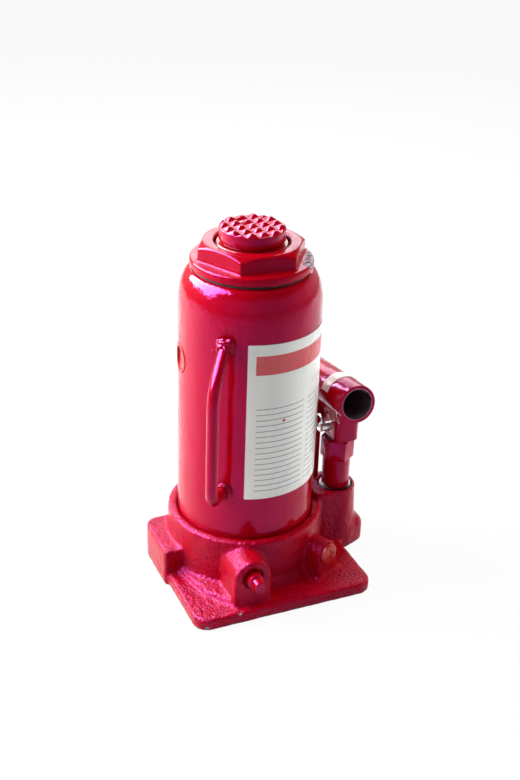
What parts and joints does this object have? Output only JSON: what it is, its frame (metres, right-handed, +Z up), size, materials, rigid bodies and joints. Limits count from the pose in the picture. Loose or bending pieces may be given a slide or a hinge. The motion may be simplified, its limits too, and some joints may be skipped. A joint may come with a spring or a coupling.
{
  "type": "bottle jack",
  "caption": "Hydraulic bottle jack with a screw-extended ram, toothed saddle, bent carry handle, hand pump with a tilting handle socket, release valve and overload valve.",
  "frame": {"origin": "the ram's axis on the flat underside of the base casting", "axes": "+Z up along the ram, +X from the ram to the pump, -Y towards the operator"},
  "size_m": [0.1427, 0.1248, 0.23],
  "materials": {
    "red_enamel": "gloss",
    "casting_enamel": "satin",
    "bright_steel": "polished",
    "dark_steel": "satin",
    "copper_washer": "satin",
    "black_rubber": "matte",
    "white_ring": "satin",
    "label_film": "satin",
    "strainer_mesh": "satin",
    "plug_plastic": "satin"
  },
  "bodies": {
    "jack_body": {"base_casting": "casting_enamel", "oil_reservoir": "red_enamel", "reservoir_bottom_gasket": "black_rubber", "reservoir_top_gasket": "black_rubber", "top_nut": "red_enamel", "ram_wiper": "black_rubber", "cylinder_gasket": "copper_washer", "pressure_cylinder": "dark_steel", "carry_handle": "red_enamel", "carry_handle_weld_upper": "red_enamel", "carry_handle_weld_lower": "red_enamel", "pump_cylinder": "red_enamel", "pump_washer": "copper_washer", "gland_wiper": "black_rubber", "release_ball": "bright_steel", "safety_valve_plug": "plug_plastic", "safety_spring": "bright_steel", "safety_ball": "bright_steel", "suction_ball": "bright_steel", "suction_strainer": "strainer_mesh", "discharge_ball": "bright_steel", "discharge_plug": "dark_steel", "discharge_spring": "bright_steel", "tank_label": "label_film"},
    "ram_body": {"ram": "bright_steel", "ram_cup_seal": "black_rubber", "ram_backup_ring": "white_ring", "ram_seal_retainer": "bright_steel"},
    "screw_ring": {"screw_stop_ring": "bright_steel"},
    "screw_body": {"extension_screw": "dark_steel", "saddle": "red_enamel"},
    "link_body": {"link_plate_left": "red_enamel", "link_plate_right": "red_enamel", "link_top_pin": "bright_steel", "link_top_clip": "dark_steel", "link_bottom_pin": "bright_steel", "link_bottom_clip": "dark_steel"},
    "socket_body": {"handle_socket": "red_enamel", "plunger_pin": "bright_steel", "plunger_pin_ring": "bright_steel", "socket_label": "label_film"},
    "plunger_body": {"pump_plunger": "bright_steel", "plunger_seal": "black_rubber"},
    "release_ring": {"release_valve_oring": "black_rubber"},
    "release_body": {"release_valve_screw": "red_enamel"},
    "filler_body": {"filler_plug": "plug_plastic"}
  },
  "joints": [
    {"name": "ram_slide", "type": "slide", "parent": "jack_body", "child": "ram_body", "axis": [0, 0, 1], "range_m": [0, 0.15]},
    {"name": "screw_rise", "type": "slide", "parent": "ram_body", "child": "screw_ring", "axis": [0, 0, 1], "range_m": [0, 0.0721]},
    {"name": "screw_turn", "type": "hinge", "parent": "screw_ring", "child": "screw_body", "pos_m": [0, 0, 0.23], "axis": [0, 0, 1], "range_deg": [0, 4320]},
    {"name": "link_sway", "type": "hinge", "parent": "jack_body", "child": "link_body", "pos_m": [0.0624, 0.013, 0.034], "axis": [1, 0, 0], "range_deg": [0, 2.6]},
    {"name": "socket_swing", "type": "hinge", "parent": "link_body", "child": "socket_body", "pos_m": [0.0624, 0.013, 0.0912], "axis": [-1, 0, 0], "range_deg": [0, 45]},
    {"name": "plunger_slide", "type": "slide", "parent": "jack_body", "child": "plunger_body", "axis": [0, 0, 1], "range_m": [0, 0.013]},
    {"name": "release_valve_travel", "type": "slide", "parent": "jack_body", "child": "release_ring", "axis": [0, -1, 0], "range_m": [0, 0.00225]},
    {"name": "release_valve_turn", "type": "hinge", "parent": "release_ring", "child": "release_body", "pos_m": [-0.019, -0.0617, 0.0264], "axis": [0, -1, 0], "range_deg": [0, 541]},
    {"name": "filler_plug_pull", "type": "slide", "parent": "jack_body", "child": "filler_body", "axis": [-0.9945, 0.1045, 0], "range_m": [0, 0.012]}
  ],
  "couplings": [
    {"joint": "screw_rise", "follows": "screw_turn", "m_per_rad": 0.00095493},
    {"joint": "link_sway", "follows": "socket_swing", "ratio": 0.054},
    {"joint": "plunger_slide", "follows": "socket_swing", "m_per_rad": 0.01645},
    {"joint": "release_valve_turn", "follows": "release_valve_travel", "rad_per_m": 4188.8}
  ]
}
